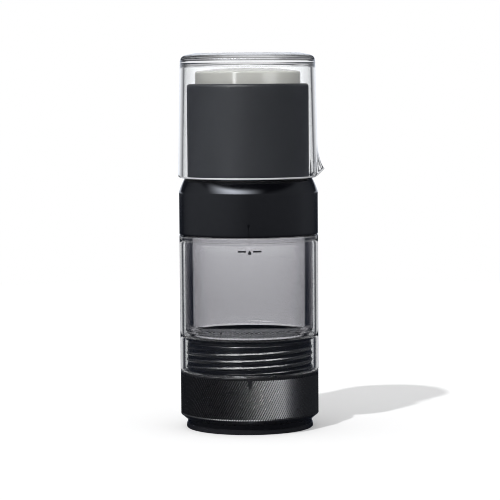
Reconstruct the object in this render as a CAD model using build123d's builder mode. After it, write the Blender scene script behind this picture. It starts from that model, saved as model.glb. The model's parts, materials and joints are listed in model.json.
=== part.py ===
from build123d import *
import os

os.makedirs("parts", exist_ok=True)

# Coffee concentrate maker: a hand pump screwed on a water chamber, screwed on a coffee basket,
# with the carafe stored upside down over the pump handle.
# Millimetres, +Z up, z = 0 on the table, all round pieces on the Z axis, the carafe's spout along +X.

# Clearances
bond_gap = 0.1  # round faces that are glued, welded or snapped together
run_gap = 0.12  # round faces that slide in each other
rest_gap = 0.3  # faces of pieces that lift off each other
loose_gap = 0.4  # round faces that pass each other without guiding
overrun = 1.0  # how far a cut runs past what it cuts

# Outside radius of the pump collar, which the other radii follow
body_r = 39.25

# Foot ring and drain base, which also plugs into the carafe's mouth
foot_inset = 0.3  # from the lower edge of the grip
foot_h = 2.8
foot_bevel = 0.4
foot_ring_w = 3.6
neck_inset = 0.6
neck_h = 2.4
drain_wall = 3.4
grid_t = 3.2
grid_rib_w = 1.6
grid_rib_count = 8
grid_hub_r = 5.0
grid_ring_r = 17.0

# Knurled grip sleeve
grip_inset = 0.1  # from the outside of the clear shell
grip_h = 26.8
grip_chamfer_r = 3.1
grip_chamfer_h = 2.6

# Coffee basket, with its metal filter clamped on a shoulder inside
basket_wall = 4.1
basket_socket_wall = 2.0
basket_reach = 16.8  # above the top of the grip
basket_bevel = 0.6
filter_level = 15.0  # top of the drain grid, above the underside of the grip
filter_t = 0.4
filter_seal_t = 1.2
filter_hole_r = 2.0
filter_hole_pitch = 8.4

# Coarse two-start screw shared by the basket and the neck of the water chamber
thread_depth = 0.9
thread_gap = 0.4

# Water chamber: a thick inner vessel in a thin clear shell whose skirt screws on the basket
shell_inset = 0.25  # from the outside of the collar
shell_wall = 2.2
shell_bevel = 0.4
skirt_wall = 2.9
skirt_lead = 0.6
vessel_gap = 1.0  # the air between the two walls
vessel_wall = 4.3
vessel_draft = 0.3
vessel_h = 53.6
vessel_lip = 3.4
vessel_corner_h = 4.2
flange_t = 2.8
flange_seat_w = 0.6
neck_top_h = 11.0
chamber_seal_t = 1.4
chamber_seal_w = 3.6
screen_ring_h = 1.6
screen_ring_lip = 1.4
screen_seat_h = 1.0
screen_lap = 0.7  # how far the vessel's lip reaches over the screen
screen_t = 0.5
screen_hole_r = 1.3
screen_hole_pitch = 5.8

# Pump collar, with screw posts inside its shoulder
collar_h = 31.6
collar_lip = 0.8  # round the foot of the handle
collar_cone_h = 8.4
collar_cone_round = 7.0
collar_ledge = 2.6  # over the rim of the cylinder's flange
collar_wall = 2.6
collar_bevel = 0.4
pump_seal_t = 1.6
pump_seal_w = 2.5
post_r = 2.4
post_room = 7.0  # between the cylinder and the collar
post_count = 4

# Pump cylinder, its outlet valve and its cap
cylinder_wall = 2.0
cylinder_h = 53.6  # above its floor
cylinder_floor_t = 3.2
cylinder_flange_gap = 1.2
outlet_hole_r = 1.4
outlet_ring_r = 5.6
outlet_count = 4
valve_r = 9.0
valve_t = 1.2
valve_stem_r = 1.5
valve_bead_r = 2.1
valve_bead_h = 1.2
cap_skirt_h = 6.0
cap_skirt_t = 1.9
cap_top_t = 3.0
cap_bevel = 0.8
vent_hole_r = 1.5
vent_count = 3
bush_t = 2.8
bush_flange_r = 11.0
bush_flange_t = 1.4
bush_drop = 1.4

# Screws
screw_r = 1.5
screw_head_r = 2.6
screw_head_h = 1.5
screw_grip = 9.0
piston_screw_head_r = 5.5
piston_screw_head_h = 1.6

# Pump handle, its rod and piston
handle_wall = 1.8
handle_top_t = 2.5
handle_bevel = 0.6
handle_boss_r = 10.0
handle_boss_h = 7.0
handle_boss_gap = 0.7  # above the rod's bush at rest
handle_rib_w = 1.6
handle_rib_h = 4.5
handle_rib_count = 6
tamper_spigot_t = 1.8
tamper_spigot_h = 3.2
rod_r = 6.0
rod_socket_depth = 5.5
rod_spigot_r = 3.6
piston_clear = 1.3  # the piston cup above the cylinder floor at rest
piston_gap = 0.7
piston_t = 5.0
piston_bevel = 0.4
cup_lip_h = 3.4
cup_lip_t = 1.5
cup_disc_t = 1.2

# Tamper on top of the handle
tamper_inset = 5.2  # from the outside of the handle
tamper_h = 9.2
tamper_dome = 2.4
tamper_wall = 1.8
tamper_skirt_wall = 2.7
tamper_edge_r = 1.2

# Carafe, upside down over the handle
carafe_slip = 0.2  # the least room round the handle
carafe_inset = 0.5  # from the outside of the collar
carafe_taper = 1.55
carafe_wall = 2.4
carafe_floor_t = 6.7
carafe_push_up = 1.6
carafe_stand_w = 8.7
carafe_shoulder_drop = 1.9
carafe_corner_r = 3.5
carafe_inner_round = 1.0
carafe_lip_bevel = 0.7
spout_reach = 6.2
spout_h = 19.0
spout_drop = 5.0
spout_depth = 9.0
spout_half_w = 9.5
spout_root_half_w = 5.0
spout_station_shares = (0.0, 0.35, 0.7, 1.0)
spout_bulge_power_share = 1.7  # how late the spout swells out of the wall

# Heights of the stack, from the table up
grip_bottom = foot_h + neck_h
grip_top = grip_bottom + grip_h
shell_bottom = grip_top + rest_gap
basket_rim = grip_top + basket_reach
filter_bottom = grip_bottom + filter_level
filter_seal_bottom = filter_bottom + filter_t
basket_shoulder = filter_seal_bottom + filter_seal_t
screen_ring_bottom = basket_rim + chamber_seal_t
vessel_bottom = screen_ring_bottom + screen_ring_h
flange_bottom = vessel_bottom + vessel_h
shell_top = flange_bottom + flange_t
neck_top = shell_top + neck_top_h
floor_bottom = neck_top + pump_seal_t
floor_top = floor_bottom + cylinder_floor_t
collar_bottom = shell_top + rest_gap
collar_top = collar_bottom + collar_h
cylinder_top = floor_top + cylinder_h
cap_top = cylinder_top + cap_top_t
handle_bottom = collar_top + rest_gap
boss_bottom = cap_top + bush_flange_t + handle_boss_gap
handle_roof = boss_bottom + handle_boss_h
handle_top = handle_roof + handle_top_t
rod_top = boss_bottom + rod_socket_depth
cup_bottom = floor_top + piston_clear
cup_disc_bottom = cup_bottom + cup_lip_h
piston_bottom = cup_disc_bottom + cup_disc_t
piston_top = piston_bottom + piston_t
tamper_top = handle_top + tamper_h
tamper_shoulder = tamper_top - tamper_dome
carafe_floor = tamper_top + rest_gap
carafe_top = carafe_floor + carafe_floor_t + carafe_push_up
carafe_corner = carafe_top - carafe_shoulder_drop
carafe_rim = collar_top
carafe_h = carafe_top - carafe_rim

# Radii, from the outside in
shell_r = body_r - shell_inset
shell_bore_r = shell_r - shell_wall
shell_seat_r = shell_bore_r + flange_seat_w
skirt_bore_r = shell_r - skirt_wall
basket_r = skirt_bore_r - thread_gap - thread_depth
basket_bore_r = basket_r - basket_wall
basket_socket_r = basket_r - basket_socket_wall
drain_plug_r = basket_socket_r - bond_gap
drain_r = drain_plug_r - drain_wall
filter_r = drain_plug_r - bond_gap
filter_hole_rings = int((basket_bore_r - filter_hole_r) / filter_hole_pitch)
grip_r = shell_r - grip_inset
foot_r = grip_r - grip_chamfer_r - foot_inset
foot_bore_r = foot_r - foot_ring_w
neck_r = foot_r - neck_inset
vessel_r = shell_bore_r - vessel_gap
vessel_bore_r = vessel_r - vessel_wall
vessel_mouth_r = vessel_bore_r - vessel_lip
screen_socket_r = vessel_mouth_r + screen_lap
screen_r = screen_socket_r - bond_gap
screen_hole_rings = int((screen_socket_r - screen_ring_lip - screen_hole_r) / screen_hole_pitch)
collar_inner_r = skirt_bore_r - collar_ledge
cylinder_flange_r = skirt_bore_r - cylinder_flange_gap
cylinder_r = collar_inner_r - post_room
cylinder_bore_r = cylinder_r - cylinder_wall
post_ring_r = (cylinder_r + collar_inner_r) / 2
vent_ring_r = (bush_flange_r + cylinder_bore_r) / 2
cap_r = cylinder_r + bond_gap + cap_skirt_t
bush_r = rod_r + run_gap + bush_t
cup_r = cylinder_bore_r - run_gap
piston_r = cylinder_bore_r - piston_gap
carafe_r = body_r - carafe_inset
carafe_shoulder_r = carafe_r - carafe_taper
carafe_stand_r = carafe_shoulder_r - carafe_stand_w
handle_r = carafe_shoulder_r - carafe_wall - carafe_slip
handle_bore_r = handle_r - handle_wall
collar_top_r = handle_r + collar_lip
tamper_r = handle_r - tamper_inset
tamper_bore_r = tamper_r - tamper_skirt_wall
tamper_spigot_r = tamper_bore_r - bond_gap


def punch_rings(hole_r, pitch, rings, level, depth):
    """Six-sided holes on concentric rings, six more on each ring, with one in the middle."""
    with BuildSketch(Plane.XY.offset(level)) as holes:
        RegularPolygon(hole_r, 6)
        for ring in range(1, rings + 1):
            with PolarLocations(ring * pitch, 6 * ring):
                RegularPolygon(hole_r, 6)
    extrude(holes.sketch, amount=depth, mode=Mode.SUBTRACT)


def pan_screw(level, shank, head_r, head_h):
    """A screw pointing up from its head, whose top face is at the given level."""
    with Locations((0, 0, level - head_h)):
        Cylinder(head_r, head_h, align=(Align.CENTER, Align.CENTER, Align.MIN))
    with Locations((0, 0, level)):
        Cylinder(screw_r, shank, align=(Align.CENTER, Align.CENTER, Align.MIN))


# Foot ring: the rubber ring that the whole maker stands on
with BuildPart() as foot_ring:
    with BuildSketch(Plane.XZ) as foot_section:
        with BuildLine():
            Polyline((foot_bore_r, 0), (foot_r, 0), (foot_r, foot_h), (foot_bore_r, foot_h), close=True)
        make_face()
        chamfer(foot_section.vertices().group_by(Axis.X)[-1], foot_bevel)
    revolve(axis=Axis.Z)
foot_ring.part.label = "foot_ring"
export_step(foot_ring.part, "parts/foot_ring.step")

# Drain base: neck, plug and the grid that carries the filter
plug_top = filter_bottom
spigot_r = foot_bore_r - bond_gap
with BuildPart() as drain_base:
    with BuildSketch(Plane.XZ):
        with BuildLine():
            Polyline(
                (drain_r, foot_bevel),
                (spigot_r, foot_bevel),
                (spigot_r, foot_h),
                (neck_r, foot_h),
                (neck_r, grip_bottom),
                (drain_plug_r, grip_bottom),
                (drain_plug_r, plug_top),
                (drain_r, plug_top),
                close=True,
            )
        make_face()
    revolve(axis=Axis.Z)
    with BuildSketch(Plane.XY.offset(plug_top - grid_t)):
        Circle(grid_hub_r)
        with BuildSketch(mode=Mode.ADD):
            Circle(grid_ring_r + grid_rib_w / 2)
            Circle(grid_ring_r - grid_rib_w / 2, mode=Mode.SUBTRACT)
        with PolarLocations((drain_r + bond_gap) / 2, grid_rib_count):
            Rectangle(drain_r + bond_gap, grid_rib_w)
    extrude(amount=grid_t)
drain_base.part.label = "drain_base"
export_step(drain_base.part, "parts/drain_base.step")

# Metal filter: a perforated disc on the drain grid
with BuildPart() as metal_filter:
    with BuildSketch(Plane.XY.offset(filter_bottom)):
        Circle(filter_r)
    extrude(amount=filter_t)
    punch_rings(filter_hole_r, filter_hole_pitch, filter_hole_rings, filter_bottom, filter_t)
metal_filter.part.label = "metal_filter"
export_step(metal_filter.part, "parts/metal_filter.step")

# Filter gasket: a flat ring between the filter and the basket's shoulder
with BuildPart() as filter_gasket:
    with BuildSketch(Plane.XY.offset(filter_seal_bottom)):
        Circle(filter_r)
        Circle(basket_bore_r, mode=Mode.SUBTRACT)
    extrude(amount=filter_seal_t)
filter_gasket.part.label = "filter_gasket"
export_step(filter_gasket.part, "parts/filter_gasket.step")

# Coffee basket: a stepped tube, with the socket for the drain base below
with BuildPart() as brew_basket:
    with BuildSketch(Plane.XZ) as basket_section:
        with BuildLine():
            Polyline(
                (basket_socket_r, grip_bottom),
                (basket_r, grip_bottom),
                (basket_r, basket_rim),
                (basket_bore_r, basket_rim),
                (basket_bore_r, basket_shoulder),
                (basket_socket_r, basket_shoulder),
                close=True,
            )
        make_face()
        chamfer(basket_section.vertices().group_by(Axis.Y)[-1], basket_bevel)
    revolve(axis=Axis.Z)
brew_basket.part.label = "brew_basket"
export_step(brew_basket.part, "parts/brew_basket.step")

# Grip sleeve round the basket, chamfered below
grip_bore_r = basket_r + bond_gap
with BuildPart() as grip_ring:
    with BuildSketch(Plane.XZ):
        with BuildLine():
            Polyline(
                (grip_bore_r, grip_bottom),
                (grip_r - grip_chamfer_r, grip_bottom),
                (grip_r, grip_bottom + grip_chamfer_h),
                (grip_r, grip_top),
                (grip_bore_r, grip_top),
                close=True,
            )
        make_face()
    revolve(axis=Axis.Z)
grip_ring.part.label = "grip_ring"
export_step(grip_ring.part, "parts/grip_ring.step")

# Chamber gasket: seals the water chamber on the basket's rim
chamber_seal_r = basket_r - basket_bevel
with BuildPart() as chamber_gasket:
    with BuildSketch(Plane.XY.offset(basket_rim)):
        Circle(chamber_seal_r)
        Circle(chamber_seal_r - chamber_seal_w, mode=Mode.SUBTRACT)
    extrude(amount=chamber_seal_t)
chamber_gasket.part.label = "chamber_gasket"
export_step(chamber_gasket.part, "parts/chamber_gasket.step")

# Screen ring: holds the dispersion screen under the inner vessel
screen_seat = screen_ring_bottom + screen_seat_h
with BuildPart() as screen_ring:
    with BuildSketch(Plane.XZ):
        with BuildLine():
            Polyline(
                (screen_socket_r - screen_ring_lip, screen_ring_bottom),
                (vessel_r, screen_ring_bottom),
                (vessel_r, vessel_bottom),
                (screen_socket_r, vessel_bottom),
                (screen_socket_r, screen_seat),
                (screen_socket_r - screen_ring_lip, screen_seat),
                close=True,
            )
        make_face()
    revolve(axis=Axis.Z)
screen_ring.part.label = "screen_ring"
export_step(screen_ring.part, "parts/screen_ring.step")

# Dispersion screen: a perforated disc that spreads the water over the coffee
with BuildPart() as dispersion_screen:
    with BuildSketch(Plane.XY.offset(screen_seat)):
        Circle(screen_r)
    extrude(amount=screen_t)
    punch_rings(screen_hole_r, screen_hole_pitch, screen_hole_rings, screen_seat, screen_t)
dispersion_screen.part.label = "dispersion_screen"
export_step(dispersion_screen.part, "parts/dispersion_screen.step")

# Inner vessel of the water chamber, with the neck that the pump screws on
vessel_top_bore_r = vessel_bore_r + vessel_draft
with BuildPart() as inner_chamber:
    with BuildSketch(Plane.XZ) as vessel_section:
        with BuildLine():
            Polyline(
                (vessel_mouth_r, vessel_bottom),
                (vessel_r, vessel_bottom),
                (vessel_r, flange_bottom),
                (shell_seat_r - bond_gap, flange_bottom),
                (shell_seat_r - bond_gap, shell_top),
                (basket_r, shell_top),
                (basket_r, neck_top),
                (vessel_top_bore_r, neck_top),
                (vessel_bore_r, vessel_bottom + vessel_corner_h),
                close=True,
            )
        make_face()
        chamfer(vessel_section.vertices().group_by(Axis.Y)[-1], basket_bevel)
    revolve(axis=Axis.Z)
inner_chamber.part.label = "inner_chamber"
export_step(inner_chamber.part, "parts/inner_chamber.step")

# Clear outer shell, rebated for the vessel's flange, with the screw skirt below
skirt_top = vessel_bottom
step_h = shell_bore_r - skirt_bore_r
with BuildPart() as outer_shell:
    with BuildSketch(Plane.XZ) as shell_section:
        with BuildLine():
            Polyline(
                (skirt_bore_r + skirt_lead, shell_bottom),
                (shell_r, shell_bottom),
                (shell_r, shell_top),
                (shell_seat_r, shell_top),
                (shell_seat_r, flange_bottom),
                (shell_bore_r, flange_bottom),
                (shell_bore_r, skirt_top + step_h),
                (skirt_bore_r, skirt_top),
                (skirt_bore_r, shell_bottom + skirt_lead),
                close=True,
            )
        make_face()
        chamfer(shell_section.vertices().group_by(Axis.X)[-1], shell_bevel)
    revolve(axis=Axis.Z)
outer_shell.part.label = "outer_shell"
export_step(outer_shell.part, "parts/outer_shell.step")

# Pump gasket: seals the cylinder's floor on the chamber's neck
pump_seal_r = basket_r - basket_bevel
with BuildPart() as pump_gasket:
    with BuildSketch(Plane.XY.offset(neck_top)):
        Circle(pump_seal_r)
        Circle(pump_seal_r - pump_seal_w, mode=Mode.SUBTRACT)
    extrude(amount=pump_seal_t)
pump_gasket.part.label = "pump_gasket"
export_step(pump_gasket.part, "parts/pump_gasket.step")

# Pump collar: screw skirt, coned shoulder, top flange round the cylinder and screw posts inside
cone_bottom = collar_top - collar_cone_h
collar_roof = collar_top - collar_wall
collar_hole_r = cylinder_r + loose_gap
with BuildPart() as pump_collar:
    with BuildSketch(Plane.XZ) as collar_section:
        with BuildLine():
            Polyline(
                (skirt_bore_r + skirt_lead, collar_bottom),
                (body_r, collar_bottom),
                (body_r, cone_bottom),
                (collar_top_r, collar_top),
                (collar_hole_r, collar_top),
                (collar_hole_r, collar_roof),
                (collar_top_r - collar_wall, collar_roof),
                (collar_inner_r, cone_bottom),
                (collar_inner_r, floor_top),
                (skirt_bore_r, floor_top),
                (skirt_bore_r, collar_bottom + skirt_lead),
                close=True,
            )
        make_face()
        collar_outside = collar_section.vertices().group_by(Axis.X)[-1].sort_by(Axis.Y)
        fillet(collar_outside[-1], collar_cone_round)
        chamfer(collar_section.vertices().group_by(Axis.X)[-1].sort_by(Axis.Y)[0], collar_bevel)
    revolve(axis=Axis.Z)
    with BuildSketch(Plane.XY.offset(floor_top)):
        with PolarLocations(post_ring_r, post_count):
            Circle(post_r)
    extrude(amount=collar_roof - floor_top)
    with BuildSketch(Plane.XY.offset(floor_top)):
        with PolarLocations(post_ring_r, post_count):
            Circle(screw_r + bond_gap)
    extrude(amount=screw_grip, mode=Mode.SUBTRACT)
pump_collar.part.label = "pump_collar"
export_step(pump_collar.part, "parts/pump_collar.step")

# Pump cylinder: a cup whose floor is the lid of the water chamber
with BuildPart() as pump_cylinder:
    with BuildSketch(Plane.XZ):
        with BuildLine():
            Polyline(
                (0, floor_bottom),
                (cylinder_flange_r, floor_bottom),
                (cylinder_flange_r, floor_top),
                (cylinder_r, floor_top),
                (cylinder_r, cylinder_top),
                (cylinder_bore_r, cylinder_top),
                (cylinder_bore_r, floor_top),
                (0, floor_top),
                close=True,
            )
        make_face()
    revolve(axis=Axis.Z)
    with Locations((0, 0, floor_top)):
        Hole(valve_stem_r + bond_gap, depth=cylinder_floor_t)
        with PolarLocations(outlet_ring_r, outlet_count):
            Hole(outlet_hole_r, depth=cylinder_floor_t)
        with PolarLocations(post_ring_r, post_count):
            Hole(screw_r + bond_gap, depth=cylinder_floor_t)
    with BuildSketch(Plane.XY.offset(floor_bottom)):
        with PolarLocations(post_ring_r, post_count):
            Circle(screw_head_r + bond_gap)
    extrude(amount=screw_head_h, mode=Mode.SUBTRACT)
pump_cylinder.part.label = "pump_cylinder"
export_step(pump_cylinder.part, "parts/pump_cylinder.step")

# Cylinder screws: up through the floor into the collar's posts
screw_seat = floor_bottom + screw_head_h
screw_shank = floor_top - screw_seat + screw_grip - bond_gap
with BuildPart() as cylinder_screws:
    with PolarLocations(post_ring_r, post_count):
        pan_screw(screw_seat, screw_shank, screw_head_r, screw_head_h)
cylinder_screws.part.label = "cylinder_screws"
export_step(cylinder_screws.part, "parts/cylinder_screws.step")

# Outlet valve: a silicone umbrella under the cylinder floor, held by the bead on its stem
bead_top = floor_top + valve_bead_h
dome_bottom = floor_bottom - valve_t
with BuildPart() as outlet_valve:
    with BuildSketch(Plane.XZ):
        with BuildLine():
            Polyline(
                (0, dome_bottom),
                (0, bead_top),
                (valve_stem_r, bead_top),
                (valve_bead_r, floor_top),
                (valve_stem_r, floor_top),
                (valve_stem_r, floor_bottom),
                (valve_r, floor_bottom),
                (valve_r / 2, dome_bottom),
                close=True,
            )
        make_face()
    revolve(axis=Axis.Z)
outlet_valve.part.label = "outlet_valve"
export_step(outlet_valve.part, "parts/outlet_valve.step")

# Cylinder cap: snaps over the cylinder, carries the rod's bush and lets air in above the piston
with BuildPart() as cylinder_cap:
    with BuildSketch(Plane.XZ) as cap_section:
        with BuildLine():
            Polyline(
                (bush_r + bond_gap, cylinder_top),
                (cylinder_r + bond_gap, cylinder_top),
                (cylinder_r + bond_gap, cylinder_top - cap_skirt_h),
                (cap_r, cylinder_top - cap_skirt_h),
                (cap_r, cap_top),
                (bush_r + bond_gap, cap_top),
                close=True,
            )
        make_face()
        chamfer(cap_section.vertices().group_by(Axis.Y)[-1].sort_by(Axis.X)[-1], cap_bevel)
    revolve(axis=Axis.Z)
    with Locations((0, 0, cap_top)):
        with PolarLocations(vent_ring_r, vent_count):
            Hole(vent_hole_r, depth=cap_top_t)
cylinder_cap.part.label = "cylinder_cap"
export_step(cylinder_cap.part, "parts/cylinder_cap.step")

# Rod bush: the flanged guide in the middle of the cap
with BuildPart() as rod_bush:
    with BuildSketch(Plane.XZ):
        with BuildLine():
            Polyline(
                (rod_r + run_gap, cylinder_top - bush_drop),
                (bush_r, cylinder_top - bush_drop),
                (bush_r, cap_top),
                (bush_flange_r, cap_top),
                (bush_flange_r, cap_top + bush_flange_t),
                (rod_r + run_gap, cap_top + bush_flange_t),
                close=True,
            )
        make_face()
    revolve(axis=Axis.Z)
rod_bush.part.label = "rod_bush"
export_step(rod_bush.part, "parts/rod_bush.step")

# Pump handle: a deep cup over the cylinder, ribbed under its roof, with a ring on top for the tamper
rib_bottom = handle_roof - handle_rib_h
rib_middle = (handle_boss_r + handle_bore_r) / 2
with BuildPart() as pump_handle:
    with BuildSketch(Plane.XZ) as handle_section:
        with BuildLine():
            Polyline(
                (0, rod_top),
                (rod_r + bond_gap, rod_top),
                (rod_r + bond_gap, boss_bottom),
                (handle_boss_r, boss_bottom),
                (handle_boss_r, handle_roof),
                (handle_bore_r, handle_roof),
                (handle_bore_r, handle_bottom),
                (handle_r, handle_bottom),
                (handle_r, handle_top),
                (tamper_spigot_r, handle_top),
                (tamper_spigot_r, handle_top + tamper_spigot_h),
                (tamper_spigot_r - tamper_spigot_t, handle_top + tamper_spigot_h),
                (tamper_spigot_r - tamper_spigot_t, handle_top),
                (0, handle_top),
                close=True,
            )
        make_face()
        chamfer(handle_section.vertices().group_by(Axis.X)[-1].sort_by(Axis.Y)[-1], handle_bevel)
    revolve(axis=Axis.Z)
    with BuildSketch(Plane.XY.offset(rib_bottom)):
        with PolarLocations(rib_middle, handle_rib_count):
            Rectangle(handle_bore_r - handle_boss_r + handle_wall, handle_rib_w)
    extrude(amount=handle_rib_h)
    with Locations((0, 0, handle_top)):
        CounterBoreHole(screw_r + bond_gap, screw_head_r + bond_gap, screw_head_h, depth=handle_boss_h)
pump_handle.part.label = "pump_handle"
export_step(pump_handle.part, "parts/pump_handle.step")

# Piston rod: a round bar from the handle's boss to the piston, stepped at its lower end
with BuildPart() as piston_rod:
    with BuildSketch(Plane.XZ):
        with BuildLine():
            Polyline(
                (screw_r + bond_gap, cup_disc_bottom),
                (rod_spigot_r, cup_disc_bottom),
                (rod_spigot_r, piston_top),
                (rod_r, piston_top),
                (rod_r, rod_top),
                (screw_r + bond_gap, rod_top),
                close=True,
            )
        make_face()
    revolve(axis=Axis.Z)
piston_rod.part.label = "piston_rod"
export_step(piston_rod.part, "parts/piston_rod.step")

# Piston head: the stiff disc that backs the cup
with BuildPart() as piston_head:
    with BuildSketch(Plane.XY.offset(piston_bottom)):
        Circle(piston_r)
        Circle(rod_spigot_r + bond_gap, mode=Mode.SUBTRACT)
    extrude(amount=piston_t)
    chamfer(piston_head.edges().group_by(Axis.Z)[-1].sort_by(SortBy.LENGTH)[-1], piston_bevel)
piston_head.part.label = "piston_head"
export_step(piston_head.part, "parts/piston_head.step")

# Piston cup: a silicone cup whose lip points down, so that it seals on the down stroke
with BuildPart() as piston_cup:
    with BuildSketch(Plane.XZ):
        with BuildLine():
            Polyline(
                (rod_spigot_r + bond_gap, cup_disc_bottom),
                (cup_r - 2 * cup_lip_t, cup_disc_bottom),
                (cup_r - cup_lip_t, cup_bottom),
                (cup_r, cup_bottom),
                (piston_r, piston_bottom),
                (rod_spigot_r + bond_gap, piston_bottom),
                close=True,
            )
        make_face()
    revolve(axis=Axis.Z)
piston_cup.part.label = "piston_cup"
export_step(piston_cup.part, "parts/piston_cup.step")

# Piston screw: clamps cup and piston on the rod
with BuildPart() as piston_screw:
    pan_screw(cup_disc_bottom, screw_grip, piston_screw_head_r, piston_screw_head_h)
piston_screw.part.label = "piston_screw"
export_step(piston_screw.part, "parts/piston_screw.step")

# Rod screw: holds the rod in the handle, under the tamper
rod_screw_seat = handle_top - screw_head_h
with BuildPart() as rod_screw:
    with Locations((0, 0, rod_screw_seat)):
        Cylinder(screw_head_r, screw_head_h, align=(Align.CENTER, Align.CENTER, Align.MIN))
        Cylinder(screw_r, screw_grip, align=(Align.CENTER, Align.CENTER, Align.MAX))
rod_screw.part.label = "rod_screw"
export_step(rod_screw.part, "parts/rod_screw.step")

# Tamper: a shallow cup with a domed face, pressed on the ring on top of the handle
tamper_roof = tamper_shoulder - tamper_wall
with BuildPart() as tamper_cap:
    with BuildSketch(Plane.XZ) as tamper_section:
        with BuildLine():
            Polyline(
                (0, tamper_top),
                (0, tamper_roof),
                (tamper_bore_r, tamper_roof),
                (tamper_bore_r, handle_top),
                (tamper_r, handle_top),
                (tamper_r, tamper_shoulder),
            )
            TangentArc((0, tamper_top), (tamper_r, tamper_shoulder), tangent=(1, 0))
        make_face()
        fillet(tamper_section.vertices().group_by(Axis.X)[-1].sort_by(Axis.Y)[-1], tamper_edge_r)
    revolve(axis=Axis.Z)
tamper_cap.part.label = "tamper_cap"
export_step(tamper_cap.part, "parts/tamper_cap.step")

# Carafe: a tapered clear cup with a raised standing ring, a push-up in its floor and a pouring lip at +X
lip_low = carafe_rim + spout_drop


def spout_solid(shrink, mode):
    """Loft of ellipses that swell out of the wall towards the lip, drawn in by the given wall."""
    stations = []
    for share in spout_station_shares:
        level = carafe_rim + spout_h * (1 - share)
        taper = carafe_r - carafe_taper * (level - carafe_rim) / carafe_h
        nose = taper + (spout_reach + bond_gap) * share**spout_bulge_power_share - bond_gap - shrink
        half_w = spout_root_half_w + (spout_half_w - spout_root_half_w) * share - shrink
        with BuildSketch(Plane.XY.offset(level)) as station:
            with Locations((nose - spout_depth, 0)):
                Ellipse(spout_depth, half_w)
        stations.append(station.sketch)
    loft(stations, mode=mode)


with BuildPart() as carafe:
    with BuildSketch(Plane.XZ) as cup_section:
        with BuildLine():
            Polyline(
                (0, carafe_rim),
                (carafe_r, carafe_rim),
                (carafe_shoulder_r, carafe_corner),
                (carafe_stand_r, carafe_top),
                (carafe_stand_r - carafe_push_up, carafe_top - carafe_push_up),
                (0, carafe_top - carafe_push_up),
                close=True,
            )
        make_face()
        cup_corner = cup_section.vertices().sort_by_distance((carafe_shoulder_r, carafe_corner))[0]
        fillet(cup_corner, carafe_corner_r)
        chamfer(cup_section.vertices().group_by(Axis.X)[-1], carafe_lip_bevel)
    revolve(axis=Axis.Z)
    spout_solid(0, Mode.ADD)
    with BuildSketch(Plane.XZ) as hollow_section:
        with BuildLine():
            Polyline(
                (0, carafe_rim),
                (carafe_r - carafe_wall + carafe_lip_bevel, carafe_rim),
                (carafe_r - carafe_wall, carafe_rim + carafe_lip_bevel),
                (carafe_shoulder_r - carafe_wall, carafe_floor),
                (0, carafe_floor),
                close=True,
            )
        make_face()
        fillet(hollow_section.vertices().group_by(Axis.Y)[-1].sort_by(Axis.X)[-1], carafe_inner_round)
    revolve(axis=Axis.Z, mode=Mode.SUBTRACT)
    spout_solid(carafe_wall, Mode.SUBTRACT)
    with BuildSketch(Plane.XZ):
        with BuildLine():
            Polyline(
                (carafe_r - carafe_wall, carafe_rim - overrun),
                (carafe_r - carafe_wall, carafe_rim),
                (carafe_r + spout_reach, lip_low),
                (carafe_r + spout_reach + overrun, lip_low),
                (carafe_r + spout_reach + overrun, carafe_rim - overrun),
                close=True,
            )
        make_face()
    extrude(amount=spout_half_w, both=True, mode=Mode.SUBTRACT)
carafe.part.label = "carafe"
export_step(carafe.part, "parts/carafe.step")
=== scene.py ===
import json

import bmesh
import bpy
import numpy as np
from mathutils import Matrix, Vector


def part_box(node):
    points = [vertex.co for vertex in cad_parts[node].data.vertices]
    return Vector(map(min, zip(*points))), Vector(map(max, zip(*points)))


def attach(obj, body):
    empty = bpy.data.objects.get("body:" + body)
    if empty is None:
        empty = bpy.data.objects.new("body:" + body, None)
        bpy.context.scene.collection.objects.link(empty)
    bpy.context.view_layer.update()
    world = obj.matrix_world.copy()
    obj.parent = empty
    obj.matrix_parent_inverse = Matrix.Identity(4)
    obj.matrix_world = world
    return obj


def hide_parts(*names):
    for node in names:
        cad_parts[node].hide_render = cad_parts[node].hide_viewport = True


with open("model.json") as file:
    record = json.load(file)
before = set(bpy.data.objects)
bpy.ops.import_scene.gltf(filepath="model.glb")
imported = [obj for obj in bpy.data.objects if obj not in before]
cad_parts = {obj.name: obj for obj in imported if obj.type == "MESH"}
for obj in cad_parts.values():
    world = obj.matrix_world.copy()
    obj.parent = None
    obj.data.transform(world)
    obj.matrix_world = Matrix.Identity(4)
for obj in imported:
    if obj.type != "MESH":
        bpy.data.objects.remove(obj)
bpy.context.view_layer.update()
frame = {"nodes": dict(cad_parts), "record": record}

mm = 0.001
front = -np.pi / 2  # the angle round Z of the side that faces the camera
crispEdge, smallEdge, softEdge = 0.15, 0.2, 0.3  # roundings of plain moulded edges, in millimetres
nearWall, onWall = 0.05, 0.01  # how near a wall or a row a point counts as on it, in millimetres
scene = bpy.context.scene


def levels(node):
    # lowest level, highest level and outer radius of a round CAD node, in millimetres
    low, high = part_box(node)
    return low.z / mm, high.z / mm, -low.y / mm


def linear(hexCode):
    # sRGB hex to linear: a straight line near black, above it ((c + 0.055) / 1.055) to the power 2.4
    srgb = np.array([int(hexCode[i:i + 2], 16) for i in (1, 3, 5)]) / 255
    light = np.where(srgb <= 0.04045, srgb / 12.92, ((srgb + 0.055) / 1.055) ** 2.4)
    return (*light.tolist(), 1.0)


def addNode(tree, kind, values=None, feeds=None, **settings):
    # one node with its settings, the plain values of its sockets and the links that feed it
    node = tree.nodes.new("ShaderNode" + kind)
    for name, value in settings.items():
        setattr(node, name, value)
    for socket, value in (values or {}).items():
        node.inputs[socket].default_value = value
    for socket, source in (feeds or {}).items():
        tree.links.new(source, node.inputs[socket])
    return node


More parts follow.
